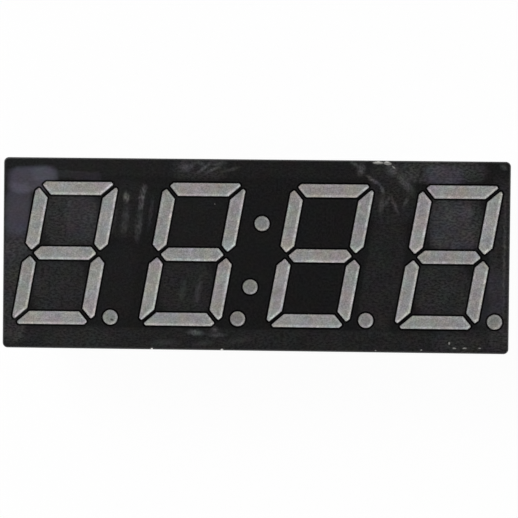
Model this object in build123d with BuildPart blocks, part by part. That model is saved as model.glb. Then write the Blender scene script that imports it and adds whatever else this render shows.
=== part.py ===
from build123d import *
from math import atan, degrees, radians, sqrt, tan
import os

# Four digit seven segment LED display with a centre colon, face up and pins down.
# Millimetres. +X runs along the row of digits, +Y to the tops of the digits, +Z out of the face.
# The origin is the centre of the seating plane, which is the back rim of the housing.

# Digits, drawn upright about their own centres and then leaned to the right
digit_count = 4
digit_height = 14.2
digit_width = 8.19
digit_gap = 4.51  # between upright digits, which brings their pitch to 12.7
slant = 10.0  # degrees
row_shift = 0.1  # the row of digits sits this far right of the middle of the face
upright_stroke = 1.33
level_stroke = 1.29
segment_gap = 0.42  # across the mitre between two segments
blunt_corner_cut = 0.92  # off the upper left and lower right corners of a digit
sharp_corner_cut = 0.75  # off the upper right and lower left corners
dot_diameter = 1.47
point_gap = 0.87  # from a digit's edge to its decimal point
point_lift = 0.03  # from a digit's foot to its decimal point
colon_spread = 6.3  # between the centres of the two dots

# Housing
face_margin = 2.4  # above and below the digits
end_gap = 0.5  # between two displays that stand end to end on the digit pitch
body_height = 8.0
body_corner_radius = 0.5
face_edge_chamfer = 0.1
housing_wall = 0.8
film_thickness = 0.1
cavity_corner_radius = 0.4
throat_inset = 0.185  # each side of a segment's cell comes in by this much from the face to the board
core_wall = 0.9  # left between a core and the cells beside it
core_skin = 1.1  # left between a core and the face
core_draft = 2.0  # degrees

# Board and back resin
board_thickness = 1.0
board_clearance = 0.15
resin_depth = 1.0
resin_recess = 0.6  # from the seating plane in to the resin

# Pins, in two rows of seven: a round leg below the resin, pressed square from there up
pins_per_row = 7
pin_pitch = 2.54
pin_row_offset = 0.52  # a pin row lies this far outside the tops and feet of the digits
pin_radius = 0.25
pin_length = 6.0  # below the seating plane
tang_side = 0.34
tang_clearance = 0.02  # from each side of the tang to its punched square hole in the board
pin_head_height = 0.45  # above the board
groove_clearance = 0.3  # in the housing, beside the pin heads and over them

# LED dies and their bond wires
die_size = 0.3
die_height = 0.25
wire_thickness = 0.05
wire_landing = 0.23  # from the side of the die to the middle of the wire's foot
wire_rise = 0.35  # over the die

# Sizes that follow from the ones above
digit_pitch = digit_width + digit_gap
body_length = digit_count * digit_pitch - end_gap
body_width = digit_height + 2 * face_margin
housing_top = body_height - film_thickness
board_back = resin_recess + resin_depth
board_front = board_back + board_thickness
cell_draft = degrees(atan(throat_inset / (body_height - board_front)))
cavity_length = body_length - 2 * housing_wall
cavity_width = body_width - 2 * housing_wall
board_length = cavity_length - 2 * board_clearance
board_width = cavity_width - 2 * board_clearance
outer_w, outer_h = digit_width / 2, digit_height / 2
inner_w, inner_h = outer_w - upright_stroke, outer_h - level_stroke
middle_w, middle_h = outer_w - upright_stroke / 2, outer_h - level_stroke / 2
set_back = segment_gap / sqrt(2)
lean = tan(radians(slant))
colon_place = digit_count // 2 - 1  # the colon follows the digit of this index

# Places along and across the face
digit_centres = [digit_pitch * (i - (digit_count - 1) / 2) for i in range(digit_count)]
point_across = outer_w + point_gap + dot_diameter / 2
point_up = point_lift + dot_diameter / 2 - outer_h
pin_row_y = outer_h + pin_row_offset
pin_xs = [pin_pitch * (i - (pins_per_row - 1) / 2) for i in range(pins_per_row)]
pin_places = [(x, -pin_row_y) for x in pin_xs] + [(x, pin_row_y) for x in reversed(pin_xs)]


def leaned(across, up):
    """Lean a point of the upright row over to the right."""
    return (across + row_shift + up * lean, up)


def turned(points):
    """Turn an outline half round about the middle of its digit."""
    return [(-across, -up) for across, up in points]


def level_segment():
    """Top segment of an upright digit: mitred ends, outer corners cut at 45 degrees."""
    mitre = middle_h - middle_w + set_back
    ends = []
    for side, cut in ((-1, blunt_corner_cut), (1, sharp_corner_cut)):
        bevel = outer_w + outer_h - cut
        inner = (side * (inner_h - mitre), inner_h)
        point = (side * (bevel - mitre) / 2, (bevel + mitre) / 2)
        outer = (side * (bevel - outer_h), outer_h)
        ends.append([inner, point, outer])
    return ends[0] + ends[1][::-1]


def upright_segment(side, cut):
    """Upper segment on one side of a digit: mitred top, pointed foot at the middle bar."""
    mitre = middle_h - middle_w - set_back
    bevel = outer_w + outer_h - cut
    shoulder = upright_stroke / 2 + set_back
    return [
        (side * inner_w, inner_w + mitre),
        (side * (bevel - mitre) / 2, (bevel + mitre) / 2),
        (side * outer_w, bevel - outer_w),
        (side * outer_w, shoulder),
        (side * middle_w, set_back),
        (side * inner_w, shoulder),
    ]


def middle_segment():
    """Middle bar, pointed at both ends."""
    tip = middle_w - set_back
    bend = tip - level_stroke / 2
    upper = [(-tip, 0), (-bend, level_stroke / 2), (bend, level_stroke / 2)]
    return upper + turned(upper)


def digit_segments():
    """The seven outlines of an upright digit. The lower ones are the upper ones turned half round."""
    upper_right = upright_segment(1, sharp_corner_cut)
    upper_left = upright_segment(-1, blunt_corner_cut)
    return {
        "a": level_segment(),
        "b": upper_right,
        "c": turned(upper_left),
        "d": turned(level_segment()),
        "e": turned(upper_right),
        "f": upper_left,
        "g": middle_segment(),
    }


def middle_of(points):
    """The middle of an outline's corners."""
    middle = sum((Vector(*p) for p in points), Vector()) / len(points)
    return (middle.X, middle.Y)


def drafted_prism(points, low, high, neutral, angle):
    """A prism between two levels, true to its outline at the neutral level and narrowing upwards."""
    with BuildPart() as prism:
        with BuildSketch(Plane.XY.offset(low)):
            with BuildLine():
                Polyline(*points, close=True)
            make_face()
        extrude(amount=high - low)
        draft(prism.faces().filter_by(Axis.Z, reverse=True), Plane.XY.offset(neutral), angle)
    return prism.part


def segment_filling(points):
    """Fills a segment's cell: a funnel that opens from the board, through the film, to the face."""
    return drafted_prism(points, board_front, body_height, body_height, -cell_draft)


def dot_filling(centre):
    """Fills a round dot's straight cell, from the board through the film."""
    with BuildPart() as filling:
        with BuildSketch(Plane((*centre, board_front))):
            Circle(dot_diameter / 2)
        extrude(amount=body_height - board_front)
    return filling.part


def die_shape(centre):
    """An LED die on the board."""
    with BuildPart() as die:
        with BuildSketch(Plane((*centre, board_front))):
            Rectangle(die_size, die_size)
        extrude(amount=die_height)
    return die.part


def wire_shape(centre):
    """A bond wire: straight up off the die, and down on a slant to the board beside it."""
    half = wire_thickness / 2
    top = die_height + wire_rise
    foot = die_size / 2 + wire_landing
    slope = top / (foot + wire_thickness)
    with BuildPart() as wire:
        with BuildSketch(Plane((*centre, board_front), x_dir=(1, 0, 0), z_dir=(0, -1, 0))):
            with BuildLine():
                Polyline(
                    (-half, die_height),
                    (-half, top),
                    (foot + half, 0),
                    (foot - half, 0),
                    (half, slope * (foot - wire_thickness)),
                    (half, die_height),
                    close=True,
                )
            make_face()
        extrude(amount=half, both=True)
    return wire.part


def core_shape(left, right, low, high):
    """A leaning block that the mould leaves hollow, narrower at its deep end so that its core pulls out."""
    corners = [leaned(left, low), leaned(right, low), leaned(right, high), leaned(left, high)]
    return drafted_prism(corners, board_front, housing_top - core_skin, board_front, core_draft)


def pin_shape(x, y):
    """A pin: its round leg ends at the resin, and its square tang goes on through the board."""
    with BuildPart() as pin:
        with BuildSketch(Plane((x, y, -pin_length))):
            Circle(pin_radius)
        extrude(amount=pin_length + resin_recess)
        with BuildSketch(Plane((x, y, resin_recess))):
            Rectangle(tang_side, tang_side)
        extrude(amount=board_front + pin_head_height - resin_recess)
    return pin.part


os.makedirs("parts", exist_ok=True)

# Each light of the face by name: the shape that fills its cell, and the middle of the cell's throat
lights = {}
for number, digit_x in enumerate(digit_centres, 1):
    for letter, corners in digit_segments().items():
        points = [leaned(digit_x + across, up) for across, up in corners]
        lights[f"segment_{letter}_digit_{number}"] = (segment_filling(points), middle_of(points))
    centre = leaned(digit_x + point_across, point_up)
    lights[f"decimal_point_{number}"] = (dot_filling(centre), centre)
for name, up in (("colon_dot_upper", colon_spread / 2), ("colon_dot_lower", -colon_spread / 2)):
    centre = leaned(digit_centres[colon_place] + digit_pitch / 2, up)
    lights[name] = (dot_filling(centre), centre)
fillings = [filling for filling, _ in lights.values()]

# Hollows in the eyes of the digits, between the digits and between the colon's dots
core_w = inner_w - core_wall
core_low, core_high = level_stroke / 2 + core_wall, inner_h - core_wall
cores = []
for digit_x in digit_centres:
    cores.append(core_shape(digit_x - core_w, digit_x + core_w, core_low, core_high))
    cores.append(core_shape(digit_x - core_w, digit_x + core_w, -core_high, -core_low))
for i, digit_x in enumerate(digit_centres[:-1]):
    left = digit_x + outer_w + core_wall
    right = digit_x + digit_pitch - outer_w - core_wall
    low, high = point_up + dot_diameter / 2 + core_wall, outer_h - core_wall
    if i == colon_place:
        high = (colon_spread - dot_diameter) / 2 - core_wall
        low = -high
    cores.append(core_shape(left, right, low, high))

# White moulded housing, with a reflector cell for each light and a recess for the board behind
with BuildPart() as reflector_housing:
    with BuildSketch():
        RectangleRounded(body_length, body_width, body_corner_radius)
    extrude(amount=housing_top)
    chamfer(reflector_housing.faces().sort_by(Axis.Z)[-1].edges(), face_edge_chamfer)
    with BuildSketch():
        RectangleRounded(cavity_length, cavity_width, cavity_corner_radius)
    extrude(amount=board_front, mode=Mode.SUBTRACT)
    with BuildSketch(Plane.XY.offset(board_front)):
        with Locations((0, pin_row_y), (0, -pin_row_y)):
            groove = tang_side + 2 * groove_clearance
            Rectangle(pin_pitch * (pins_per_row - 1) + groove, groove)
    extrude(amount=pin_head_height + groove_clearance, mode=Mode.SUBTRACT)
    add(fillings + cores, mode=Mode.SUBTRACT)
reflector_housing.part.label = "reflector_housing"
export_step(reflector_housing.part, "parts/reflector_housing.step")

# Black film over the whole face, with a window for each light
with BuildPart() as face_film:
    with BuildSketch(Plane.XY.offset(housing_top)):
        RectangleRounded(
            body_length - 2 * face_edge_chamfer,
            body_width - 2 * face_edge_chamfer,
            body_corner_radius - face_edge_chamfer,
        )
    extrude(amount=film_thickness)
    add(fillings, mode=Mode.SUBTRACT)
face_film.part.label = "face_film"
export_step(face_film.part, "parts/face_film.step")

# Clear resin that lights up, one casting in each cell, and the die and wire that it holds
dies, wires = [], []
for name, (filling, centre) in lights.items():
    dies.append(die_shape(centre))
    wires.append(wire_shape(centre))
    with BuildPart() as light:
        add(filling)
        add([dies[-1], wires[-1]], mode=Mode.SUBTRACT)
    light.part.label = name
    export_step(light.part, f"parts/{name}.step")

with BuildPart() as led_dies:
    add(dies)
led_dies.part.label = "led_dies"
export_step(led_dies.part, "parts/led_dies.step")

with BuildPart() as bond_wires:
    add(wires)
bond_wires.part.label = "bond_wires"
export_step(bond_wires.part, "parts/bond_wires.step")

# Tinned pins, numbered from the lower left and on round the display
pins = []
for number, (x, y) in enumerate(pin_places, 1):
    pin = pin_shape(x, y)
    pin.label = f"pin_{number:02d}"
    export_step(pin, f"parts/{pin.label}.step")
    pins.append(pin)

# Board that carries the dies and the pins
with BuildPart() as circuit_board:
    with BuildSketch(Plane.XY.offset(board_back)):
        Rectangle(board_length, board_width)
        with Locations(*pin_places):
            hole = tang_side + 2 * tang_clearance
            Rectangle(hole, hole, mode=Mode.SUBTRACT)
    extrude(amount=board_thickness)
circuit_board.part.label = "circuit_board"
export_step(circuit_board.part, "parts/circuit_board.step")

# Resin poured in from behind, over the board's back and up round its edges
with BuildPart() as back_resin:
    with BuildSketch(Plane.XY.offset(resin_recess)):
        RectangleRounded(cavity_length, cavity_width, cavity_corner_radius)
    extrude(amount=board_front - resin_recess)
    with BuildSketch(Plane.XY.offset(board_back)):
        Rectangle(board_length, board_width)
    extrude(amount=board_thickness, mode=Mode.SUBTRACT)
    add(pins, mode=Mode.SUBTRACT)
back_resin.part.label = "back_resin"
export_step(back_resin.part, "parts/back_resin.step")
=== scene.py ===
"""Looks of a four digit LED clock display: its printed face, cast lights, pins and resin, and a studio."""

from math import cos, radians, sin

import bpy
import numpy as np
from bpy.props import FloatProperty, FloatVectorProperty, PointerProperty
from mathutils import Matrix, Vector
from mathutils.geometry import tessellate_polygon


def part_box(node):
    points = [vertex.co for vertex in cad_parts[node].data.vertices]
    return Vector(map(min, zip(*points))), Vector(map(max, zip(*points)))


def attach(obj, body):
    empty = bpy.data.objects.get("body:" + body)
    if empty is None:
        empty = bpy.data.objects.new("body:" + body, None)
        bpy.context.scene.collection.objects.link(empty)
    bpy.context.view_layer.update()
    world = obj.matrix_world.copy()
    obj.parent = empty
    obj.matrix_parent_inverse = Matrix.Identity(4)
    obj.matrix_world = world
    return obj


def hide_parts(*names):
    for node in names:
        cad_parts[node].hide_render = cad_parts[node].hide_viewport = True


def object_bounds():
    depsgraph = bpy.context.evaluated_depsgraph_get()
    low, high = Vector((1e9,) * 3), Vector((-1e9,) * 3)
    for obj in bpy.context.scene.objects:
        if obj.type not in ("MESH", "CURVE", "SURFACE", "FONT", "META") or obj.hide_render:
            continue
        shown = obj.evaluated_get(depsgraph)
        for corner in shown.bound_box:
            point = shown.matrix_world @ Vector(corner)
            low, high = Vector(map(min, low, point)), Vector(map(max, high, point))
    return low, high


bl_info = {
    "name": "LED clock display",
    "version": (1, 0, 0),
    "blender": (4, 5, 0),
    "location": "3D View > Sidebar > Clock display",
    "description": "Dresses a seven segment clock display with its printed face, lights, pins and resin",
    "category": "Object",
}

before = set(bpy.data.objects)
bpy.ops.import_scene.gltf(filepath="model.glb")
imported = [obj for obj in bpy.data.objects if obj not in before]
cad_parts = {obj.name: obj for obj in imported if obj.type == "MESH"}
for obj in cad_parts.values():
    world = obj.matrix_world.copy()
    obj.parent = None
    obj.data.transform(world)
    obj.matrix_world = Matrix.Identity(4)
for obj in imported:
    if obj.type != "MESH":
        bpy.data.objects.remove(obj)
cad_low, cad_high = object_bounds()

mm = 0.001
BODY = "root"
DIGITS = range(1, 5)
SEGMENTS = "abcdefg"
PINS = range(1, 15)

# Sizes of the frame that its boxes don't give
FILM_CORNER = 0.4 * mm
CAVITY_CORNER = 0.4 * mm
THROAT_INSET = 0.185 * mm  # of each side of a segment's cell, from the face to the board
TANG_HALF = 0.17 * mm

# The square tang of a pin: how square it is, its step at the resin, its bevel and the share left at its end
TANG_SQUARENESS = 12
TANG_STEP = 0.08 * mm
TANG_BEVEL = 0.05 * mm
TANG_END = 0.8

# How finely the new surfaces are divided
CIRCLE_POINTS = 72
PIN_POINTS = 40
ARC_POINTS = 7
CURVE_STEPS = 9
EDGE_STEPS = 4
MENISCUS_STEPS = 11
SIDE_PARTS = 6
EDGE_PARTS = 160
CREEP_PARTS = 24
FLAT_RINGS = (0.25, 0.5, 0.75)  # of a light's flat, as shares of the way to its middle

# The least that is left of a side and of a corner's radius
LEAST_SIDE = 0.02 * mm
LEAST_CORNER = 0.05 * mm

# How close two rings lie at a crisp edge, how far below the film a light's taper ends, how deep feet sink
HAIR = 0.01 * mm
BELOW_FILM = 0.05 * mm
SUNK = 0.02 * mm

# How much of the white wall shows at the edge of a light: everywhere, and, as painted light from the upper
# left, more on the right, at the bottom and on upright walls. Then the share of it right at the wall, kept
# low there as painted shade, and how fast that grows inwards.
WALL_SHOWS, RIGHT_PAINTED_LIGHT, BELOW_PAINTED_LIGHT, UPRIGHT_PAINTED_LIGHT = 0.46, 0.18, 0.21, 0.16
WALL_PALENESS, RIM_GROWTH = 0.35, 3.2

# Upright segments are paler in their lower tip, a painted light, and darker in their upper one, a painted
# shade. The deep round cells are darkened with painted shade.
UPRIGHT_SEGMENTS = tuple(f"segment_{letter}_" for letter in "bcef")
TIP_REACH = 1.0 * mm
LOWER_TIP_PAINTED_LIGHT, UPPER_TIP_PAINTED_SHADE, DOT_PAINTED_SHADE = 0.16, 0.12, 0.22

# The levels between which most noise lies, and the middle of coloured noise
NOISE_RANGE = (0.3, 0.7)
MIDDLE_GREY = (0.5, 0.5, 0.5)

# Wave of the film's cut edge, how far the print wraps over the housing's front edge, and how far a full
# strength mark pushes the next one aside
EDGE_WAVE = 0.006 * mm
PRINT_WRAP = 0.24 * mm
MARK_SLIDE = 0.15 * mm

# The camera: its place from the middle of the face, its turn in degrees about x, y and z, and its lens
CAMERA_PLACE = (5.29 * mm, 2.25 * mm, 150 * mm)
CAMERA_TURN = (-1.0, 1.87, 0.67)
CAMERA_LENS = 105.2

# The lamps' names, places, sides and shares of full light on a surface that looks up
LAMPS = (
    ("key_lamp", (-0.26, 0.24, 0.36), 0.26, 0.42),
    ("fill_lamp", (0.34, -0.1, 0.3), 0.3, 0.16),
    ("front_lamp", (0.02, -0.38, 0.2), 0.3, 0.1),
)

# The surroundings: light at the horizon and overhead, and the heights between which it fades, then the
# direction of the upper left, how far along it the two sides lie and the shares of light there
HORIZON_LIGHT, OVERHEAD_LIGHT = 0.95, 0.04
FADE_START, FADE_END = 0.35, 0.93
UPPER_LEFT = (-0.6, 0.6, 0.0)
SIDE_REACH = 0.85
DIM_SIDE, BRIGHT_SIDE = 0.6, 1.4

# The floor: half its side, its gap below the pins and how much of it glows
FLOOR_HALF = 0.6
FLOOR_GAP = 0.01 * mm
FLOOR_GLOW = 0.95

# Marks on the printed face: middle, half length and half width in millimetres, turn in degrees and
# strength. Blooms are milky and blue, a film with painted reflection of the surroundings, hazes are grey
# veils of fine scuffing with painted sheen, streaks and smears are wiped, and chips are worn through to the
# white.
BLOOMS_AND_REFLECTIONS = (
    ("across the upper left corner", (-22.25, 7.3), (2.85, 1.55), 3, 0.28),
    ("its bright end", (-21.0, 7.85), (1.5, 0.85), -6, 0.1),
    ("down the left side", (-23.75, 4.3), (1.45, 3.1), -5, 0.2),
    ("lower on the left side", (-23.7, 2.4), (1.4, 4.2), -8, 0.04),
    ("over the first digit", (-17.6, 7.75), (2.6, 0.5), -4, 0.06),
    ("in the upper eye of the first digit", (-17.2, 3.6), (2.2, 2.6), 0, 0.05),
    ("in the upper eye of the last digit", (19.4, 3.0), (2.4, 2.8), 0, 0.08),
    ("right of the last digit", (23.4, -4.0), (1.6, 3.4), -8, 0.07),
    ("over the last digit", (18.6, 8.1), (2.2, 1.1), 0, 0.14),
)
HAZES_AND_SHEEN = (
    ("left side", (-24.0, -3.4), (1.7, 6.4), -4, 0.11),
    ("upper edge", (0.0, 8.8), (25.6, 1.3), 0, 0.018),
    ("lower edge", (0.0, -8.5), (25.6, 1.3), 0, 0.047),
    ("lower left", (-19.6, -8.3), (6.0, 1.4), 0, 0.028),
    ("right side", (24.4, -0.6), (1.5, 9.6), 0, 0.07),
    ("lower right corner", (21.6, -8.3), (4.4, 1.4), 0, 0.045),
    ("upper eye of the first digit", (-18.37, 3.3), (3.0, 2.95), 0, 0.1),
    ("lower eye of the first digit", (-19.53, -3.3), (3.0, 2.95), 0, 0.072),
    ("upper eye of the second digit", (-5.67, 3.3), (3.0, 2.95), 0, 0.012),
    ("lower eye of the second digit", (-6.83, -3.3), (3.0, 2.95), 0, 0.055),
    ("upper eye of the last digit", (19.73, 3.3), (3.0, 2.95), 0, 0.135),
    ("lower eye of the last digit", (18.57, -3.3), (3.0, 2.95), 0, 0.085),
    ("between the first digits", (-12.6, 4.4), (2.0, 3.2), -10, 0.03),
    ("below it", (-13.6, -3.2), (1.8, 4.6), -10, 0.015),
    ("over the second digit", (-5.6, 8.45), (3.0, 1.2), 0, 0.055),
    ("between the last digits", (13.5, 6.4), (2.6, 3.4), 0, 0.05),
    ("below it", (12.6, -2.0), (2.1, 6.4), -9, 0.05),
    ("over the last digit", (18.6, 8.4), (4.6, 1.3), 0, 0.12),
)
STREAKS = (
    ("first streak, head", (-12.85, 5.6), (0.42, 0.8), 0, 0.34),
    ("first streak", (-12.95, 3.3), (0.55, 2.3), -6, 0.11),
    ("second streak, upper part", (-11.15, 6.3), (0.4, 0.9), -10, 0.27),
    ("second streak, head", (-11.33, 5.6), (0.4, 0.75), 0, 0.36),
    ("second streak, lower lump", (-11.4, 4.8), (0.38, 0.7), 0, 0.34),
    ("second streak", (-11.6, 2.9), (0.5, 2.4), -5, 0.13),
    ("third streak", (-10.4, 4.2), (0.35, 2.4), -8, 0.07),
    ("beside the first digit", (-14.15, 3.6), (0.4, 3.0), -10, 0.1),
    ("in the second digit's lower eye", (-5.6, -3.6), (0.5, 2.1), -10, 0.09),
    ("second streak there", (-7.2, -3.8), (0.45, 1.9), -10, 0.07),
    # A pale line just inside the right edge
    ("rubbed right edge", (24.6, -0.4), (0.2, 9.3), 0, 0.13),
)
SMEARS = (
    ("blot over the second digit", (-7.05, 8.65), (0.95, 0.75), 0, 0.2),
    ("first blade of the fan", (-6.5, 8.75), (1.2, 0.3), 40, 0.17),
    ("second blade", (-5.1, 8.65), (1.3, 0.26), 38, 0.24),
    ("third blade", (-4.25, 8.45), (1.3, 0.24), 26, 0.2),
    ("fourth blade", (-3.7, 9.05), (1.2, 0.26), 10, 0.15),
    ("fifth blade", (-2.4, 8.5), (1.4, 0.26), 14, 0.12),
    ("crossing blade", (-5.4, 9.0), (1.0, 0.26), -30, 0.12),
    ("wipe under the second digit", (-5.85, -7.75), (1.15, 0.42), -4, 0.32),
    ("wipe beside its corner", (-3.95, -7.4), (0.6, 0.5), -45, 0.22),
    ("wipe below the corner", (-3.7, -7.95), (1.2, 0.32), 0, 0.2),
    ("crossing wipe", (-5.2, -8.85), (1.5, 0.4), 8, 0.08),
    ("faint wipe to the left", (-8.9, -8.8), (2.4, 0.45), 4, 0.07),
    ("faint wipe to the right", (-1.6, -8.5), (2.2, 0.4), 12, 0.06),
    ("curl, blot", (10.4, 8.6), (0.6, 0.95), -12, 0.26),
    ("curl, head", (9.8, 9.1), (1.0, 0.34), -35, 0.2),
    ("curl, shoulder", (11.6, 7.55), (1.35, 0.27), -33, 0.3),
    ("curl, turn", (12.5, 6.65), (0.8, 0.26), -70, 0.27),
    ("curl, foot", (12.45, 5.1), (1.5, 0.42), 84, 0.17),
    ("zigzag, left", (13.0, 5.5), (1.1, 0.27), 63, 0.15),
    ("zigzag, middle", (13.75, 5.1), (1.35, 0.27), -67, 0.21),
    ("zigzag, right", (14.85, 5.4), (1.0, 0.27), 68, 0.16),
    ("below the top chip", (13.5, 8.55), (0.95, 0.85), -30, 0.24),
    ("stroke to the last digit", (14.7, 7.35), (2.1, 0.62), -52, 0.2),
    # A painted glint on the edge of the upper right corner, over a rubbed patch
    ("rubbed corner", (24.45, 8.95), (0.6, 0.45), -20, 0.16),
    ("spot in the last digit's upper eye", (21.0, 4.6), (0.8, 1.2), -10, 0.08),
)
CHIPS = (
    ("top edge", (12.05, 9.27), (0.95, 0.24), 0, 0.85),
    ("top edge, wide end", (13.0, 9.22), (0.62, 0.28), -8, 1.0),
    ("tail of the top chip", (13.6, 8.86), (0.42, 0.14), -38, 0.6),
    ("bottom edge under the first digits", (-10.2, -9.42), (0.19, 0.13), 0, 1.0),
    ("bottom edge left of the middle", (-3.2, -9.42), (0.24, 0.11), 0, 0.9),
    ("speck under the third digit", (12.05, -9.28), (0.16, 0.12), 0, 0.75),
    ("speck under the last digit", (16.55, -9.2), (0.18, 0.12), 0, 0.8),
    ("knock under the last digit", (19.3, -8.5), (0.15, 0.24), -8, 0.85),
    ("rubbed dash", (19.8, -8.97), (0.34, 0.13), -6, 0.75),
    ("second dash", (20.82, -8.97), (0.38, 0.12), 4, 0.85),
    ("third dash", (22.3, -8.95), (0.26, 0.12), 0, 0.75),
    ("speck inside the second digit", (-4.05, 5.05), (0.11, 0.13), 0, 0.55),
)
DIRT_SPECK = ((-14.2, -6.58), (0.26, 0.15), -20, 0.95)  # on the first decimal point


def length(name, description, default):
    """A length for the panel."""
    return FloatProperty(
        name=name, description=description, default=default, min=0, precision=5, unit="LENGTH")


def colour(name, description, default):
    """A colour for the panel."""
    return FloatVectorProperty(
        name=name, description=description, default=default, min=0, max=1, subtype="COLOR")


class DisplaySizes(bpy.types.PropertyGroup):
    """Sizes of the fine shapes that the finish adds."""

    corner_round: length("Corner radius", "Rounding of the corners of the windows and lights", 0.12 * mm)
    lip_width: length("Lip width", "Width of the glossy lip of print round a window", 0.19 * mm)
    lip_dip: length("Lip dip", "How far the lip rolls down into its window", 0.02 * mm)
    edge_roll: length("Edge roll", "Rounding of the film's outer edge", 0.04 * mm)
    chip_depth: length("Chip depth", "How far a chip bites into the film's outer edge", 0.2 * mm)
    meniscus_width: length("Meniscus width", "How far in from its wall a light's resin curves up", 0.3 * mm)
    meniscus_rise: length("Meniscus rise", "How far the resin of a light climbs its wall", 0.055 * mm)
    light_recess: length("Light recess", "From the face down to the middle of a light", 0.09 * mm)
    tip_length: length("Pin tip length", "Length of the rounded tip of a pin", 0.4 * mm)
    tip_radius: length("Pin tip radius", "Radius of the flat at the end of a pin", 0.11 * mm)
    creep_height: length("Creep height", "How far the back resin climbs the wall and the pins", 0.32 * mm)
    creep_width: length("Creep width", "How far climbing resin reaches from the wall or a pin", 0.38 * mm)


class DisplayColours(bpy.types.PropertyGroup):
    """Colours of the display's finishes."""

    print_black: colour("Print", "Black print on the face", (0.006, 0.0058, 0.006))
    # Haze: fine scuffing with painted sheen on the print
    haze_and_sheen_grey: colour("Haze", "Fine scuffing on the print", (0.122, 0.12, 0.122))
    # Bloom: a milky film with painted reflection of the surroundings on the print
    bloom_and_reflection_blue: colour("Bloom", "Milky bloom on the print", (0.12, 0.112, 0.158))
    smear_grey: colour("Smear", "Wiped streaks and smears on the print", (0.19, 0.19, 0.195))
    light_grey: colour("Light", "Resin of an unlit light", (0.236, 0.23, 0.226))
    light_rim: colour("Light rim", "White wall showing through the edge of a light", (0.46, 0.45, 0.44))
    housing_white: colour("Housing", "Moulded white plastic", (0.76, 0.75, 0.71))
    tin: colour("Tin", "Tinned pins", (0.7, 0.69, 0.67))
    back_resin: colour("Back resin", "Milky resin over the board", (0.6, 0.585, 0.5))
    board: colour("Board", "Laminate of the circuit board", (0.3, 0.36, 0.16))
    die: colour("Die", "LED crystal", (0.33, 0.27, 0.12))
    gold: colour("Bond wire", "Gold wire", (0.83, 0.61, 0.24))
    floor: colour("Floor", "Studio floor", (0.85, 0.85, 0.85))


def light_names():
    """Names of the CAD nodes that light up."""
    names = [f"segment_{letter}_digit_{digit}" for digit in DIGITS for letter in SEGMENTS]
    names += [f"decimal_point_{digit}" for digit in DIGITS]
    return names + ["colon_dot_upper", "colon_dot_lower"]


def front_corners(name):
    """Corners of a CAD node's flat front, in order round their middle."""
    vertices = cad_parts[name].data.vertices
    points = np.empty(len(vertices) * 3)
    vertices.foreach_get("co", points)
    points = points.reshape(-1, 3)
    slack = mm / 1000
    front = points[points[:, 2] > points[:, 2].max() - slack, :2]
    front = np.unique(front.round(8), axis=0)
    across, up = (front - front.mean(axis=0)).T
    return front[np.argsort(np.arctan2(up, across))]


def crossed(a, b):
    """Area spanned by two flat vectors, row by row."""
    return a[:, 0] * b[:, 1] - a[:, 1] * b[:, 0]


def moved_in(corners, inset):
    """A convex outline with each side moved in by the inset: corner i is where sides i - 1 and i meet. A
    side that shrinks to nothing on the way keeps the least length, round the point where its two
    neighbours meet."""
    side = np.roll(corners, -1, axis=0) - corners
    side /= np.linalg.norm(side, axis=1, keepdims=True)
    before, after = np.roll(side, 1, axis=0), np.roll(side, -1, axis=0)
    inwards = np.stack([-side[:, 1], side[:, 0]], axis=1)
    along = inset * (1 - (before * side).sum(axis=1)) / crossed(before, side)
    moved = corners + inset * inwards + along[:, None] * side

    gap = np.roll(moved, -1, axis=0) - moved
    gone = (gap * side).sum(axis=1) < LEAST_SIDE
    reach = crossed(gap, after) / np.where(gone, crossed(before, after), 1)
    meeting = moved + reach[:, None] * before
    start, end = meeting - side * LEAST_SIDE / 2, meeting + side * LEAST_SIDE / 2
    moved = np.where(gone[:, None], start, moved)
    return np.where(np.roll(gone, 1)[:, None], np.roll(end, 1, axis=0), moved)


def polygon_ring(corners, inset, radius, parts=1):
    """Points round a polygon moved in by the inset, its corners replaced by arcs of the radius and its
    sides divided into equal parts."""
    centres = moved_in(corners, inset + radius)
    side = np.roll(corners, -1, axis=0) - corners
    facing = np.arctan2(-side[:, 0], side[:, 1])
    before = np.roll(facing, 1)
    swing = (facing - before) % (2 * np.pi)
    angle = before[:, None] + swing[:, None] * np.linspace(0, 1, ARC_POINTS)
    arcs = centres[:, None] + radius * np.stack([np.cos(angle), np.sin(angle)], axis=2)
    share = np.linspace(0, 1, parts + 1)[1:-1, None]
    next_start = np.roll(arcs[:, :1], -1, axis=0)
    sides = arcs[:, -1:] + share * (next_start - arcs[:, -1:])
    return np.concatenate([arcs, sides], axis=1).reshape(-1, 2)


def circle_ring(centre, radius):
    """Points round a circle."""
    angle = np.linspace(0, 2 * np.pi, CIRCLE_POINTS, endpoint=False)
    return np.asarray(centre) + radius * np.stack([np.cos(angle), np.sin(angle)], axis=1)


def light_ring(name, inset, corner_round, parts=1):
    """Points round a light's outline, moved in by the inset. A dot's outline is a circle, and a segment's is
    its polygon, each side in so many parts, with rounded corners that sharpen inwards and widen outwards."""
    corners = front_corners(name)
    if name.startswith("segment"):
        return polygon_ring(corners, inset, max(corner_round - inset, corner_round / 4), parts)
    low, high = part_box(name)
    centre = ((low + high) / 2).xy
    return circle_ring(centre, (high.x - low.x) / 2 - inset)


def raised(ring, height):
    """A flat ring of points set at a height."""
    return np.column_stack([ring, np.full(len(ring), height)])


def strip_faces(rings, around, first=0, closed=False):
    """Four sided faces between each ring of points and the next, and from the last to the first if the
    profile is closed. They face outwards where the rings climb the outside of a solid."""
    ring = np.arange(rings if closed else rings - 1)[:, None]
    step = np.arange(around)
    after = (step + 1) % around
    upper = (ring + 1) % rings
    corners = [ring * around + step, ring * around + after, upper * around + after, upper * around + step]
    return first + np.stack(corners, axis=-1).reshape(-1, 4)


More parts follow.
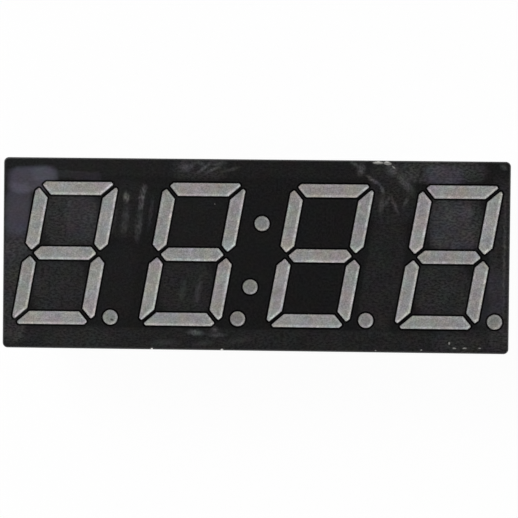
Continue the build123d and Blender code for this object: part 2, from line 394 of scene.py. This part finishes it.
def add_piece(name, points, faces, finish, stands_for=(), marks=None, flat=()):
    """Puts a mesh in the scene as a piece of the display. marks holds a value for each point by name, and
    flat lists the faces that stay flat where the rest is shaded smooth."""
    mesh = bpy.data.meshes.new(name)
    mesh.from_pydata(np.asarray(points).tolist(), [], faces)
    smooth = np.ones(len(mesh.polygons), dtype=bool)
    smooth[list(flat)] = False
    mesh.polygons.foreach_set("use_smooth", smooth)
    for mark, values in (marks or {}).items():
        attribute = mesh.attributes.new(mark, "FLOAT", "POINT")
        attribute.data.foreach_set("value", np.asarray(values, dtype=np.float32))
    mesh.materials.append(finish)
    mesh.validate()
    piece = bpy.data.objects.new(name, mesh)
    bpy.context.scene.collection.objects.link(piece)
    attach(piece, BODY)
    if stands_for:
        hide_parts(*stands_for)


def lathe_solid(rings):
    """Points and faces of a solid from its rings, listed from its foot, up its outside and in over its top.
    The foot and the top are each closed by triangles round a middle point, which come last."""
    around = len(rings[0])
    points = np.concatenate([*rings, [rings[0].mean(axis=0), rings[-1].mean(axis=0)]])
    step = np.arange(around)
    after = (step + 1) % around
    last = len(points) - 2 - around
    foot = np.column_stack([after, step, np.full(around, len(points) - 2)])
    top = np.column_stack([last + step, last + after, np.full(around, len(points) - 1)])
    return points, strip_faces(len(rings), around).tolist() + foot.tolist() + top.tolist()


class Nodes:
    """A node tree being put together. Most calls add a node and return its output."""

    def __init__(self, tree):
        self.tree = tree

    def add(self, kind, inputs=(), **settings):
        """A new node, with inputs by name or number."""
        node = self.tree.nodes.new(kind)
        for setting, value in settings.items():
            setattr(node, setting, value)
        for key, value in dict(inputs).items():
            self.join(value, node.inputs[key])
        return node

    def join(self, value, socket):
        """Links an output to a socket, or sets the socket to a number, a vector or a colour."""
        if isinstance(value, bpy.types.NodeSocket):
            self.tree.links.new(value, socket)
        elif socket.type == "RGBA":
            socket.default_value = (*value, 1.0)
        else:
            socket.default_value = value

    def span(self, value, low, high, to_low=0.0, to_high=1.0, soft=True):
        """A value between two levels, carried over to two others."""
        kind = "SMOOTHSTEP" if soft else "LINEAR"
        inputs = {"Value": value, 1: low, 2: high, 3: to_low, 4: to_high}
        return self.add("ShaderNodeMapRange", inputs, interpolation_type=kind).outputs[0]

    def maths(self, operation, a, b=0.0):
        return self.add("ShaderNodeMath", {0: a, 1: b}, operation=operation).outputs[0]

    def vectors(self, operation, *inputs, output="Vector"):
        numbered = dict(enumerate(inputs))
        return self.add("ShaderNodeVectorMath", numbered, operation=operation).outputs[output]


class Finish(Nodes):
    """The nodes of a material, from its Object coordinates to its shader."""

    def __init__(self, name, **sockets):
        self.material = bpy.data.materials.new(name)
        self.material.use_nodes = True
        super().__init__(self.material.node_tree)
        self.shader = self.tree.nodes["Principled BSDF"]
        self.place = self.add("ShaderNodeTexCoord").outputs["Object"]
        for socket, value in sockets.items():
            self.give(socket.replace("_", " "), value)

    def give(self, socket, value):
        """Sets or links a socket of the shader."""
        self.join(value, self.shader.inputs[socket])

    def noise(self, grain, detail=2.0, stretch=(1, 1, 1), warp=0.0):
        """Cloudy noise of a grain in metres, drawn out along an axis by its stretch."""
        drawn = self.add("ShaderNodeMapping", {0: self.place, "Scale": stretch}, vector_type="TEXTURE")
        inputs = {"Vector": drawn.outputs[0], "Scale": 1 / grain, "Detail": detail, "Distortion": warp}
        return self.add("ShaderNodeTexNoise", inputs).outputs["Fac"]

    def ranged(self, noise, low=0.0, high=1.0, soft=True):
        """Noise carried over to two levels."""
        return self.span(noise, *NOISE_RANGE, low, high, soft)

    def tints(self, grain, detail=2.0):
        """Noise with its own red, green and blue."""
        inputs = {0: self.place, "Scale": 1 / grain, "Detail": detail}
        return self.add("ShaderNodeTexNoise", inputs).outputs["Color"]

    def blend(self, share, a, b, kind="MIX"):
        """One colour over another."""
        inputs = {0: share, 6: a, 7: b}
        return self.add("ShaderNodeMix", inputs, data_type="RGBA", blend_type=kind).outputs[2]

    def scaled(self, value, amount):
        """A colour or a vector times a number."""
        node = self.add("ShaderNodeVectorMath", {0: value, "Scale": amount}, operation="SCALE")
        return node.outputs[0]

    def mark(self, name):
        return self.add("ShaderNodeAttribute", attribute_name=name).outputs["Fac"]

    def patch(self, middle, halves, turn, strength, place, edge, squared=False):
        """A place on the face that fades out from the edge share of its size to its full size. It's an oval
        or, where squared, a rectangle with round corners, inside which the fourth powers sum to under 1."""
        inputs = {
            "Vector": place,
            "Location": (middle[0] * mm, middle[1] * mm, cad_high.z),
            "Rotation": (0, 0, radians(turn)),
            "Scale": (halves[0] * mm, halves[1] * mm, 1),
        }
        offset = self.add("ShaderNodeMapping", inputs, vector_type="TEXTURE").outputs[0]
        if squared:
            offset = self.vectors("MULTIPLY", offset, offset)
        reach = self.vectors("LENGTH", offset, output="Value")
        return self.span(reach, edge, 1.0, strength, 0.0)

    def patches(self, places, edge, place, operation="MAXIMUM", squared=False):
        """Several places: the strongest of them at each point, or their sum. Each slides a little aside where
        those before it lie, so that marks break each other's edges where they cross."""
        total, drawn = 0.0, place
        for _, *oval in places:
            total = self.maths(operation, total, self.patch(*oval, drawn, edge, squared))
            drawn = self.vectors("MULTIPLY_ADD", total, (MARK_SLIDE, MARK_SLIDE, 0), place)
        return total

    def wavering(self, grain, amount):
        """Object coordinates pushed about by noise, so that what is drawn on them has uneven edges."""
        centred = self.vectors("SUBTRACT", self.tints(grain, 3), MIDDLE_GREY)
        return self.vectors("ADD", self.place, self.scaled(centred, amount))

    def relief(self, height, depth):
        """Gives the shader a bump of a depth in metres."""
        bump = self.add("ShaderNodeBump", {"Height": height, "Distance": depth, "Strength": 1.0})
        self.give("Normal", bump.outputs[0])


def toned(base, share):
    """A colour made darker or paler by a share."""
    return tuple(channel * share for channel in base)


def chip_mask(finish):
    """Where the print is worn through, with uneven edges."""
    ragged = finish.wavering(0.16 * mm, 0.14 * mm)
    return finish.span(finish.patches(CHIPS, 0.1, ragged), 0.25, 0.6)


def printed_black(colours):
    """Satin black print with faint tints, veiled with fine scuffing and painted sheen, bloomed with a milky
    film and painted reflection, mottled where it was handled, smeared, and chipped. Round the windows it is a
    smoother lip, darkened to a near black ring of painted shade."""
    finish = Finish("printed_black", Specular_IOR_Level=0.35)
    uneven = finish.wavering(1.0 * mm, 0.45 * mm)
    combed = finish.wavering(0.35 * mm, 0.36 * mm)
    mottle = finish.span(finish.noise(0.17 * mm, 3, stretch=(1.9, 1, 1), warp=0.2), 0.34, 0.68, 0.25, 1.75)
    cloud = finish.ranged(finish.noise(1.3 * mm, 3), 0.8, 1.2)
    veil = finish.maths("MULTIPLY", mottle, cloud)
    fibres = finish.span(finish.noise(0.13 * mm, 3, stretch=(1, 2.5, 1)), 0.34, 0.66, 0.2, 1.4)
    lumps = finish.span(finish.noise(0.17 * mm, 3, warp=0.4), 0.34, 0.66, 0.3, 1.35)
    # Grey veils of fine scuffing with painted sheen
    haze_and_sheen = finish.maths("MULTIPLY", finish.patches(HAZES_AND_SHEEN, 0.5, uneven, "ADD", squared=True), veil)
    soft = finish.span(mottle, 0.25, 1.75, 0.85, 1.15, soft=False)
    # Milky blue film with painted reflection of the surroundings
    bloom_and_reflection = finish.maths("MULTIPLY", finish.patches(BLOOMS_AND_REFLECTIONS, 0.35, uneven, "ADD", squared=True), soft)
    streak = finish.maths("MULTIPLY", finish.patches(STREAKS, 0.1, combed), fibres)
    smear = finish.maths("MULTIPLY", finish.patches(SMEARS, 0.0, combed), lumps)
    wiped = finish.maths("MAXIMUM", streak, smear)

    grain = finish.span(finish.noise(0.2 * mm, 3), 0.32, 0.68, 0.5, 1.5)
    plain = finish.scaled(colours.print_black, grain)
    ink = finish.blend(haze_and_sheen, plain, colours.haze_and_sheen_grey)
    ink = finish.blend(bloom_and_reflection, ink, colours.bloom_and_reflection_blue)
    ink = finish.blend(wiped, ink, colours.smear_grey)
    # A tint lies about middle grey and so halves the colour, which is doubled again
    tint = finish.blend(0.3, MIDDLE_GREY, finish.tints(1.7 * mm))
    tinted = finish.scaled(finish.blend(1.0, ink, tint, "MULTIPLY"), 2.0)
    # Painted shade: along the lip round each window the colour is darkened to a near black ring
    lip = finish.span(finish.mark("lip"), 0.0, 0.06)
    dark = finish.blend(lip, tinted, finish.scaled(tinted, 0.05))
    scuffed = toned(colours.housing_white, 0.25)
    finish.give("Base Color", finish.blend(chip_mask(finish), dark, scuffed))

    worn = finish.maths("ADD", haze_and_sheen, finish.maths("ADD", bloom_and_reflection, wiped))
    fine = finish.noise(0.05 * mm, 2)
    satin = finish.maths("ADD", finish.ranged(fine, 0.24, 0.34), finish.maths("MULTIPLY", worn, 0.4))
    finish.give("Roughness", finish.maths("SUBTRACT", satin, finish.maths("MULTIPLY", lip, 0.1)))
    relief = finish.maths("ADD", finish.noise(0.9 * mm, 2), finish.maths("MULTIPLY", fine, 0.04))
    finish.relief(relief, 0.003 * mm)
    return finish.material


def diffusing_resin(colours):
    """Unlit resin filled with fine diffuser: a grainy warm grey with small pits, a little different from
    cell to cell. It pales where the white wall of its cell shows through, with painted light from the upper
    left that is stronger on the right and lower edges and in the lower tips, and it darkens with painted
    shade in the deep round cells and the upper tips."""
    finish = Finish("diffusing_resin", Roughness=0.4)
    grain = finish.ranged(finish.noise(0.13 * mm, 3), 0.74, 1.26)
    flecks = finish.ranged(finish.noise(0.3 * mm, 2, warp=0.5), 0.87, 1.13)
    slow = finish.ranged(finish.noise(1.0 * mm, 2), 0.93, 1.07)
    cell = finish.ranged(finish.noise(7.0 * mm, 1), 0.93, 1.07, soft=False)
    pits = finish.span(finish.noise(0.15 * mm, 1, warp=0.3), 0.64, 0.74, 1.0, 0.8)
    shade = grain
    for part in (flecks, slow, cell, pits):
        shade = finish.maths("MULTIPLY", shade, part)
    patchy = finish.ranged(finish.noise(0.5 * mm, 2), 0.6, 1.4)
    # Painted light: the pale edge where the white wall shows through, stronger on the right and lower edges
    # as if lit from the upper left
    wall_and_painted_light = finish.maths("MULTIPLY", finish.mark("wall_and_painted_light"), patchy)
    grey = finish.blend(wall_and_painted_light, colours.light_grey, colours.light_rim)
    # Painted shade: darker in the deep round cells and in the upper tips of upright segments
    grey = finish.blend(finish.mark("deep"), grey, (0, 0, 0))
    tint = finish.blend(0.18, MIDDLE_GREY, finish.tints(1.5 * mm))
    warm = finish.ranged(finish.noise(1.1 * mm, 2))
    warmth = finish.blend(warm, (0.507, 0.5, 0.485), (0.493, 0.5, 0.515))
    tinted = finish.blend(1.0, finish.blend(1.0, grey, tint, "MULTIPLY"), warmth, "MULTIPLY")
    # The tint and the warmth each halve the colour
    shaded = finish.scaled(tinted, finish.maths("MULTIPLY", shade, 4.0))
    speck = finish.patch(*DIRT_SPECK, finish.wavering(0.1 * mm, 0.08 * mm), 0.3)
    dirt = (0.03, 0.028, 0.025)
    finish.give("Base Color", finish.blend(speck, shaded, dirt))
    finish.relief(finish.noise(0.1 * mm, 3), 0.004 * mm)
    return finish.material


def moulded_white(colours):
    """White plastic, faintly mottled, with the black print wrapped over its front edge and chipped there."""
    finish = Finish("moulded_white")
    height = finish.add("ShaderNodeSeparateXYZ", {0: finish.wavering(0.4 * mm, 0.12 * mm)}).outputs["Z"]
    wrapped, blur = cad_high.z - PRINT_WRAP, 0.02 * mm
    inked = finish.span(height, wrapped - blur, wrapped + blur)
    inked = finish.maths("MULTIPLY", inked, finish.maths("SUBTRACT", 1.0, chip_mask(finish)))
    mottle = finish.span(finish.noise(2.5 * mm, 4), 0.35, 0.7)
    white = finish.blend(mottle, colours.housing_white, toned(colours.housing_white, 0.93))
    grime = finish.span(finish.noise(0.5 * mm, 4, stretch=(3, 3, 1)), 0.6, 0.8, 0.0, 0.12)
    dusty = (0.25, 0.23, 0.19)
    white = finish.blend(grime, white, dusty)
    finish.give("Base Color", finish.blend(inked, white, toned(colours.print_black, 1.2)))
    fine = finish.noise(0.06 * mm, 3)
    finish.give("Roughness", finish.ranged(fine, 0.38, 0.5))
    finish.relief(finish.maths("ADD", fine, finish.noise(1.2 * mm, 2)), 0.003 * mm)
    return finish.material


def tinned(colours):
    """Dull tin over drawn wire: streaks along the pin and small brighter spangles."""
    finish = Finish("tinned", Metallic=1.0)
    streak = finish.noise(0.06 * mm, 3, stretch=(1, 1, 12))
    cloud = finish.ranged(finish.noise(0.5 * mm, 3))
    finish.give("Base Color", finish.blend(cloud, colours.tin, toned(colours.tin, 0.72)))
    drawn = finish.ranged(streak, 0.22, 0.38)
    finish.give("Roughness", finish.maths("ADD", drawn, finish.maths("MULTIPLY", cloud, 0.12)))
    finish.relief(streak, 0.004 * mm)
    return finish.material


def milky_resin(colours):
    """Resin over the back of the board: milky, with the shade of the board's lands showing through."""
    made = bpy.data.materials.get("milky_resin")
    if made:
        return made
    finish = Finish("milky_resin", Coat_Weight=0.4, Coat_Roughness=0.08)
    cloud = finish.ranged(finish.noise(2.8 * mm, 4, warp=0.8))
    deep = tuple(c * s for c, s in zip(colours.back_resin, (0.8, 0.84, 0.74)))
    finish.give("Base Color", finish.blend(cloud, colours.back_resin, deep))
    finish.give("Roughness", finish.ranged(finish.noise(0.3 * mm, 2), 0.18, 0.3))
    finish.relief(finish.noise(3.0 * mm, 2), 0.05 * mm)
    return finish.material


def laminate(colours):
    """Glass laminate with its weave."""
    finish = Finish("laminate", Roughness=0.5)
    across, up = finish.noise(0.2 * mm, 1, (8, 1, 1)), finish.noise(0.2 * mm, 1, (1, 8, 1))
    weave = finish.span(finish.maths("MULTIPLY", across, up), 0.15, 0.4)
    finish.give("Base Color", finish.blend(weave, toned(colours.board, 0.7), colours.board))
    return finish.material


def crystal(colours):
    """LED dies: a dark crystal with a bright grain."""
    finish = Finish("crystal", Roughness=0.25)
    grain = finish.noise(0.05 * mm, 2)
    finish.give("Base Color", finish.blend(grain, toned(colours.die, 0.5), colours.die))
    return finish.material


def gold(colours):
    """Drawn gold wire."""
    finish = Finish("gold", Metallic=1.0)
    finish.give("Base Color", colours.gold)
    finish.give("Roughness", finish.ranged(finish.noise(0.02 * mm, 2), 0.15, 0.3))
    return finish.material


def box_corners(low, high):
    """Corners of a box seen from the front, counter-clockwise."""
    return np.array([(low.x, low.y), (high.x, low.y), (high.x, high.y), (low.x, high.y)])


def flat_between(points, loops, upwards):
    """Triangles of a flat face between its outline and its windows. They come counter-clockwise, which is
    upwards, and are turned over for a face that looks down."""
    index = np.concatenate(loops)
    triangles = index[np.array(tessellate_polygon([points[loop].tolist() for loop in loops]))]
    return (triangles if upwards else triangles[:, ::-1]).tolist()


def oval_depth(points, places):
    """How deep each point lies in the deepest of several ovals: 1 in a middle, 0 from the edge outwards."""
    depth = np.zeros(len(points))
    for _, middle, halves, turn, strength in places:
        offset = points - np.array(middle) * mm
        along = offset[:, 0] * cos(radians(turn)) + offset[:, 1] * sin(radians(turn))
        across = offset[:, 1] * cos(radians(turn)) - offset[:, 0] * sin(radians(turn))
        reach = np.hypot(along / (halves[0] * mm), across / (halves[1] * mm))
        depth = np.maximum(depth, strength * np.clip(1 - reach, 0, 1))
    return depth


class DISPLAY_OT_face_film(bpy.types.Operator):
    """Makes the black printed film, with a window and a soft bead of print round each light"""

    bl_idname = "clock_display.face_film"
    bl_label = "Face film"

    def execute(self, context):
        sizes = context.scene.display_sizes
        low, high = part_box("face_film")
        outer = self.outer_edge(low, high, sizes)
        around = len(outer[0])
        rings = list(outer)
        faces = strip_faces(len(outer), around).tolist()
        marks = [np.zeros(around)] * len(outer)
        count = len(outer) * around
        back_loops = [np.arange(around)]
        front_loops = [np.arange(around) + count - around]
        for name in light_names():
            window, lips = self.window(name, low, high, sizes)
            around = len(window[0])
            faces += strip_faces(len(window), around, first=count).tolist()
            rings += window
            marks += [np.full(around, lip) for lip in lips]
            front_loops.append(count + np.arange(around))
            count += len(window) * around
            back_loops.append(count - around + np.arange(around))
        points = np.concatenate(rings)
        flat = []
        for loops, upwards in ((front_loops, True), (back_loops, False)):
            triangles = flat_between(points, loops, upwards)
            flat += range(len(faces), len(faces) + len(triangles))
            faces += triangles
        add_piece(
            "printed_face_film", points, faces, printed_black(context.scene.display_colours),
            ["face_film"], {"lip": np.concatenate(marks)}, flat)
        return {"FINISHED"}

    def outer_edge(self, low, high, sizes):
        """Rings up the outside of the film and over its edge, rolled along a quarter of a circle. Chips bite
        in towards the middle, and a quick wave times a slow one keeps the cut from being dead straight."""
        corners = box_corners(low, high)
        start = polygon_ring(corners, 0, FILM_CORNER, EDGE_PARTS)
        probe = mm / 10
        inwards = (polygon_ring(corners, probe, FILM_CORNER - probe, EDGE_PARTS) - start) / probe
        index = np.arange(len(start))
        quick, slow = np.sin(index * 2.3), np.sin(index * 0.37)
        wave = EDGE_WAVE * (1 + quick * slow)
        bite = sizes.chip_depth * oval_depth(start, CHIPS) + wave
        rings = [raised(start + bite[:, None] * inwards, low.z)]
        for step in np.linspace(0, 1, EDGE_STEPS):
            inset = sizes.edge_roll * (1 - cos(step * np.pi / 2))
            ring = polygon_ring(corners, inset, FILM_CORNER - inset, EDGE_PARTS)
            height = high.z - sizes.edge_roll * (1 - sin(step * np.pi / 2))
            rings.append(raised(ring + bite[:, None] * inwards, height))
        return rings

    def window(self, name, low, high, sizes):
        """Rings of one window, in over the lip, down the wall and out along the back, and how much of the lip
        each ring is. The lip sinks with the fourth power of the way across it."""
        rings, lips = [], []
        for step in np.linspace(0, 1, CURVE_STEPS):
            ring = light_ring(name, -sizes.lip_width * (1 - step), sizes.corner_round)
            rings.append(raised(ring, high.z - sizes.lip_dip * step ** 4))
            lips.append(step)
        rings.append(raised(light_ring(name, 0, sizes.corner_round), low.z))
        rings.append(raised(light_ring(name, -sizes.lip_width, sizes.corner_round), low.z))
        return rings, lips + [1, 0]


class DISPLAY_OT_lights(bpy.types.Operator):
    """Makes the resin castings of the segments, decimal points and colon dots"""

    bl_idname = "clock_display.lights"
    bl_label = "Lights"

    def execute(self, context):
        sizes = context.scene.display_sizes
        finish = diffusing_resin(context.scene.display_colours)
        film_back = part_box("face_film")[0].z
        for name in light_names():
            low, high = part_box(name)
            rings, shares = self.casting(name, low.z, film_back, high.z, sizes)
            points, faces = lathe_solid(rings)
            lower, upper = self.tip_shares(name, points[:, 1], low.y, high.y)
            # Painted light in the lower tips of upright segments; painted shade in their upper tips and in
            # the round cells
            wall_and_painted_light = np.append(np.concatenate(shares), [0, 0]) + LOWER_TIP_PAINTED_LIGHT * lower
            deep = UPPER_TIP_PAINTED_SHADE * upper if name.startswith("segment") else DOT_PAINTED_SHADE + 0 * wall_and_painted_light
            add_piece(f"resin_{name}", points, faces, finish, [name], {"wall_and_painted_light": wall_and_painted_light, "deep": deep})
        return {"FINISHED"}

    def casting(self, name, foot, film_back, face, sizes):
        """Rings from the board up the wall of the cell, down the meniscus and in over the flat middle, and
        how much of the white wall and of the painted light shows at each point. Across the meniscus the
        height falls with the square of the way that is left, and the paleness is that way to the power of one
        and a half, times a straight line that rises inwards, which leaves a painted shade right at the wall."""
        middle = face - sizes.light_recess
        outline = light_ring(name, 0, sizes.corner_round, SIDE_PARTS)
        throat = THROAT_INSET if name.startswith("segment") else 0
        rings = [
            raised(light_ring(name, throat, sizes.corner_round, SIDE_PARTS), foot),
            raised(outline, film_back - BELOW_FILM),
            raised(outline, middle + sizes.meniscus_rise - HAIR),
        ]
        side = self.wall_share_and_painted_light(outline)
        shares = [0 * side, WALL_PALENESS * side, WALL_PALENESS * side]
        for step in np.linspace(0, 1, MENISCUS_STEPS):
            ring = light_ring(name, HAIR + step * sizes.meniscus_width, sizes.corner_round, SIDE_PARTS)
            rings.append(raised(ring, middle + sizes.meniscus_rise * (1 - step) ** 2))
            shares.append(side * (1 - step) ** 1.5 * (WALL_PALENESS + RIM_GROWTH * step))
        edge = rings[-1]
        for step in FLAT_RINGS:
            rings.append(edge + step * (edge.mean(axis=0) - edge))
            shares.append(0 * side)
        return rings, shares

    def wall_share_and_painted_light(self, outline):
        """How much of the white wall shows at each point of an outline, with painted light. The light comes
        from the upper left, so it's a middling share plus parts of the outward direction's two components,
        and a part of the square of the level one, which make the right, lower and upright edges paler."""
        along = np.roll(outline, -1, axis=0) - np.roll(outline, 1, axis=0)
        along /= np.linalg.norm(along, axis=1, keepdims=True)
        right, below = along[:, 1], along[:, 0]
        return WALL_SHOWS + RIGHT_PAINTED_LIGHT * right + BELOW_PAINTED_LIGHT * below + UPRIGHT_PAINTED_LIGHT * right ** 2

    def tip_shares(self, name, up, low, high):
        """How far each point is towards the lower and the upper tip of an upright segment: 1 in the tip, and
        0 from the tip's reach onwards."""
        if not name.startswith(UPRIGHT_SEGMENTS):
            return 0 * up, 0 * up
        return np.clip(1 - (up - low) / TIP_REACH, 0, 1), np.clip(1 - (high - up) / TIP_REACH, 0, 1)


class DISPLAY_OT_pins(bpy.types.Operator):
    """Makes the tinned pins, round below the resin and square where they pass the board"""

    bl_idname = "clock_display.pins"
    bl_label = "Pins"

    def execute(self, context):
        sizes = context.scene.display_sizes
        finish = tinned(context.scene.display_colours)
        resin_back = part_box("back_resin")[0].z
        angle = np.linspace(0, 2 * np.pi, PIN_POINTS, endpoint=False)
        outwards = np.stack([np.cos(angle), np.sin(angle)], axis=1)
        square = TANG_HALF / (np.abs(outwards) ** TANG_SQUARENESS).sum(axis=1) ** (1 / TANG_SQUARENESS)
        for number in PINS:
            name = f"pin_{number:02d}"
            low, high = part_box(name)
            radius = (high.x - low.x) / 2
            centre = np.asarray(((low + high) / 2).xy)
            profile = []
            for step in np.linspace(0, 1, CURVE_STEPS):
                # The tip swells along a quarter of an ellipse to the full radius
                swell = sizes.tip_radius + (radius - sizes.tip_radius) * sin(step * np.pi / 2)
                height = low.z + sizes.tip_length * (1 - cos(step * np.pi / 2))
                profile.append((swell, height))
            profile.append((radius, resin_back))
            profile.append((square, resin_back + TANG_STEP))
            profile.append((square, high.z - TANG_BEVEL))
            profile.append((square * TANG_END, high.z))
            rings = []
            for reach, height in profile:
                rings.append(raised(centre + np.reshape(reach, (-1, 1)) * outwards, height))
            points, faces = lathe_solid(rings)
            add_piece(f"tinned_{name}", points, faces, finish, [name])
        return {"FINISHED"}


class DISPLAY_OT_resin_creep(bpy.types.Operator):
    """Makes the concave edges where the back resin climbs the housing's wall and the pins"""

    bl_idname = "clock_display.resin_creep"
    bl_label = "Resin creep"

    def execute(self, context):
        sizes = context.scene.display_sizes
        finish = milky_resin(context.scene.display_colours)
        low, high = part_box("back_resin")
        corners = box_corners(low, high)
        sunk = low.z + SUNK
        steps = np.linspace(0, 1, CURVE_STEPS)

        # A quarter of a circle bent the hollow way, from the flat resin out to the wall and down it
        rings = []
        for step in steps:
            inset = sizes.creep_width * (1 - sin(step * np.pi / 2))
            height = low.z - sizes.creep_height * (1 - cos(step * np.pi / 2))
            radius = max(CAVITY_CORNER - inset, LEAST_CORNER)
            rings.append(raised(polygon_ring(corners, inset, radius, CREEP_PARTS), height))
        rings.append(raised(polygon_ring(corners, 0, CAVITY_CORNER, CREEP_PARTS), sunk))
        rings.append(raised(polygon_ring(corners, sizes.creep_width, LEAST_CORNER, CREEP_PARTS), sunk))
        faces = strip_faces(len(rings), len(rings[0]), closed=True).tolist()
        add_piece("resin_creep_wall", np.concatenate(rings), faces, finish)

        points, faces, count = [], [], 0
        for number in PINS:
            pin_low, pin_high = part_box(f"pin_{number:02d}")
            centre = ((pin_low + pin_high) / 2).xy
            radius = (pin_high.x - pin_low.x) / 2
            rings = []
            for step in steps:
                reach = radius + sizes.creep_width * (1 - cos(step * np.pi / 2))
                height = low.z - sizes.creep_height * (1 - sin(step * np.pi / 2))
                rings.append(raised(circle_ring(centre, reach), height))
            rings.append(raised(circle_ring(centre, radius + sizes.creep_width), sunk))
            rings.append(raised(circle_ring(centre, radius - SUNK), sunk))
            faces += strip_faces(len(rings), len(rings[0]), first=count, closed=True).tolist()
            points += rings
            count += len(rings) * len(rings[0])
        add_piece("resin_creep_pins", np.concatenate(points), faces, finish)
        return {"FINISHED"}


class DISPLAY_OT_carried_over(bpy.types.Operator):
    """Gives the housing, board, resin, dies and wires of the frame their finishes"""

    bl_idname = "clock_display.carried_over"
    bl_label = "Housing, board and resin"

    def execute(self, context):
        colours = context.scene.display_colours
        finishes = {
            "reflector_housing": moulded_white,
            "back_resin": milky_resin,
            "circuit_board": laminate,
            "led_dies": crystal,
            "bond_wires": gold,
        }
        for name, make in finishes.items():
            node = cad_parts[name]
            finish = make(colours)
            if not node.material_slots:
                node.data.materials.append(finish)
            for slot in node.material_slots:
                slot.material = finish
        return {"FINISHED"}


class DISPLAY_OT_stage(bpy.types.Operator):
    """Makes the white floor, the soft lamps, the surroundings and the camera over the face"""

    bl_idname = "clock_display.stage"
    bl_label = "Stage"

    def execute(self, context):
        scene = context.scene
        self.floor(scene)
        self.surroundings(scene)
        for name, place, side, share in LAMPS:
            lamp = bpy.data.lights.new(name, "AREA")
            lamp.shape, lamp.size = "SQUARE", side
            height, distance = place[2], Vector(place).length
            lamp.energy = share * np.pi ** 2 * distance ** 3 / height
            holder = bpy.data.objects.new(name, lamp)
            holder.location = place
            holder.rotation_euler = (-Vector(place)).to_track_quat("-Z", "Y").to_euler()
            scene.collection.objects.link(holder)
        self.camera(scene)
        scene.view_settings.view_transform = "Standard"
        return {"FINISHED"}

    def floor(self, scene):
        """A flat floor at the pins' tips. The camera sees it nearly white, and not at all from below."""
        finish = Finish("floor", Roughness=0.9)
        finish.give("Base Color", scene.display_colours.floor)
        path = finish.add("ShaderNodeLightPath").outputs
        seen = finish.maths("MAXIMUM", path["Is Camera Ray"], path["Is Glossy Ray"])
        share = finish.maths("MULTIPLY", seen, FLOOR_GLOW)
        glow = finish.add("ShaderNodeEmission").outputs[0]
        lit = finish.add("ShaderNodeMixShader", {0: share, 1: finish.shader.outputs[0], 2: glow}).outputs[0]
        under = finish.add("ShaderNodeNewGeometry").outputs["Backfacing"]
        clear = finish.add("ShaderNodeBsdfTransparent").outputs[0]
        either = finish.add("ShaderNodeMixShader", {0: under, 1: lit, 2: clear}).outputs[0]
        finish.join(either, finish.tree.nodes["Material Output"].inputs["Surface"])

        mesh = bpy.data.meshes.new("floor")
        corners = box_corners(Vector((-FLOOR_HALF, -FLOOR_HALF)), Vector((FLOOR_HALF, FLOOR_HALF)))
        mesh.from_pydata(raised(corners, cad_low.z - FLOOR_GAP).tolist(), [], [(0, 1, 2, 3)])
        mesh.materials.append(finish.material)
        floor = bpy.data.objects.new("floor", mesh)
        scene.collection.objects.link(floor)

    def surroundings(self, scene):
        """White to the camera. As light it falls from white at the horizon to nearly black overhead, where
        the room behind a camera is dark, so that the glossy print shows black from the front. Its upper left
        is brighter than its lower right."""
        world = bpy.data.worlds.new("studio")
        scene.world = world
        world.use_nodes = True
        nodes = Nodes(world.node_tree)
        back = nodes.tree.nodes["Background"]
        nodes.join((1, 1, 1), back.inputs["Color"])
        place = nodes.add("ShaderNodeTexCoord").outputs["Generated"]
        height = nodes.add("ShaderNodeSeparateXYZ", {0: place}).outputs["Z"]
        fade = nodes.span(height, FADE_START, FADE_END, HORIZON_LIGHT, OVERHEAD_LIGHT)
        along = nodes.vectors("DOT_PRODUCT", place, UPPER_LEFT, output="Value")
        sided = nodes.span(along, -SIDE_REACH, SIDE_REACH, DIM_SIDE, BRIGHT_SIDE, soft=False)
        light = nodes.maths("MULTIPLY", fade, sided)
        seen = nodes.add("ShaderNodeLightPath").outputs["Is Camera Ray"]
        level = nodes.add("ShaderNodeMix", {"Factor": seen, "A": light, "B": 1.0})
        nodes.join(level.outputs[0], back.inputs["Strength"])

    def camera(self, scene):
        """Looks down on the face from a little to its right and above, turned slightly."""
        camera = bpy.data.cameras.new("camera")
        camera.sensor_width = 36
        camera.lens = CAMERA_LENS
        camera.clip_start, camera.clip_end = 0.01, 10
        holder = bpy.data.objects.new("camera", camera)
        across, up, above = CAMERA_PLACE
        holder.location = (across, up, cad_high.z + above)
        holder.rotation_mode = "ZYX"
        holder.rotation_euler = [radians(turn) for turn in CAMERA_TURN]
        scene.collection.objects.link(holder)
        scene.camera = holder


class DISPLAY_PT_panel(bpy.types.Panel):
    """Lists the makers of the display's pieces, with its sizes and colours"""

    bl_idname = "DISPLAY_PT_panel"
    bl_label = "Clock display"
    bl_space_type = "VIEW_3D"
    bl_region_type = "UI"
    bl_category = "Clock display"

    def draw(self, context):
        for maker in MAKERS:
            self.layout.operator(maker.bl_idname)
        for group in (context.scene.display_sizes, context.scene.display_colours):
            box = self.layout.box()
            for name in group.__annotations__:
                box.prop(group, name)


MAKERS = (
    DISPLAY_OT_carried_over,
    DISPLAY_OT_face_film,
    DISPLAY_OT_lights,
    DISPLAY_OT_pins,
    DISPLAY_OT_resin_creep,
    DISPLAY_OT_stage,
)
CLASSES = (DisplaySizes, DisplayColours, *MAKERS, DISPLAY_PT_panel)


def register():
    for cls in CLASSES:
        bpy.utils.register_class(cls)
    bpy.types.Scene.display_sizes = PointerProperty(type=DisplaySizes)
    bpy.types.Scene.display_colours = PointerProperty(type=DisplayColours)


def unregister():
    del bpy.types.Scene.display_colours
    del bpy.types.Scene.display_sizes
    for cls in reversed(CLASSES):
        bpy.utils.unregister_class(cls)


def main():
    register()
    bpy.ops.clock_display.carried_over()
    bpy.ops.clock_display.face_film()
    bpy.ops.clock_display.lights()
    bpy.ops.clock_display.pins()
    bpy.ops.clock_display.resin_creep()
    bpy.ops.clock_display.stage()


if __name__ == "__main__":
    main()
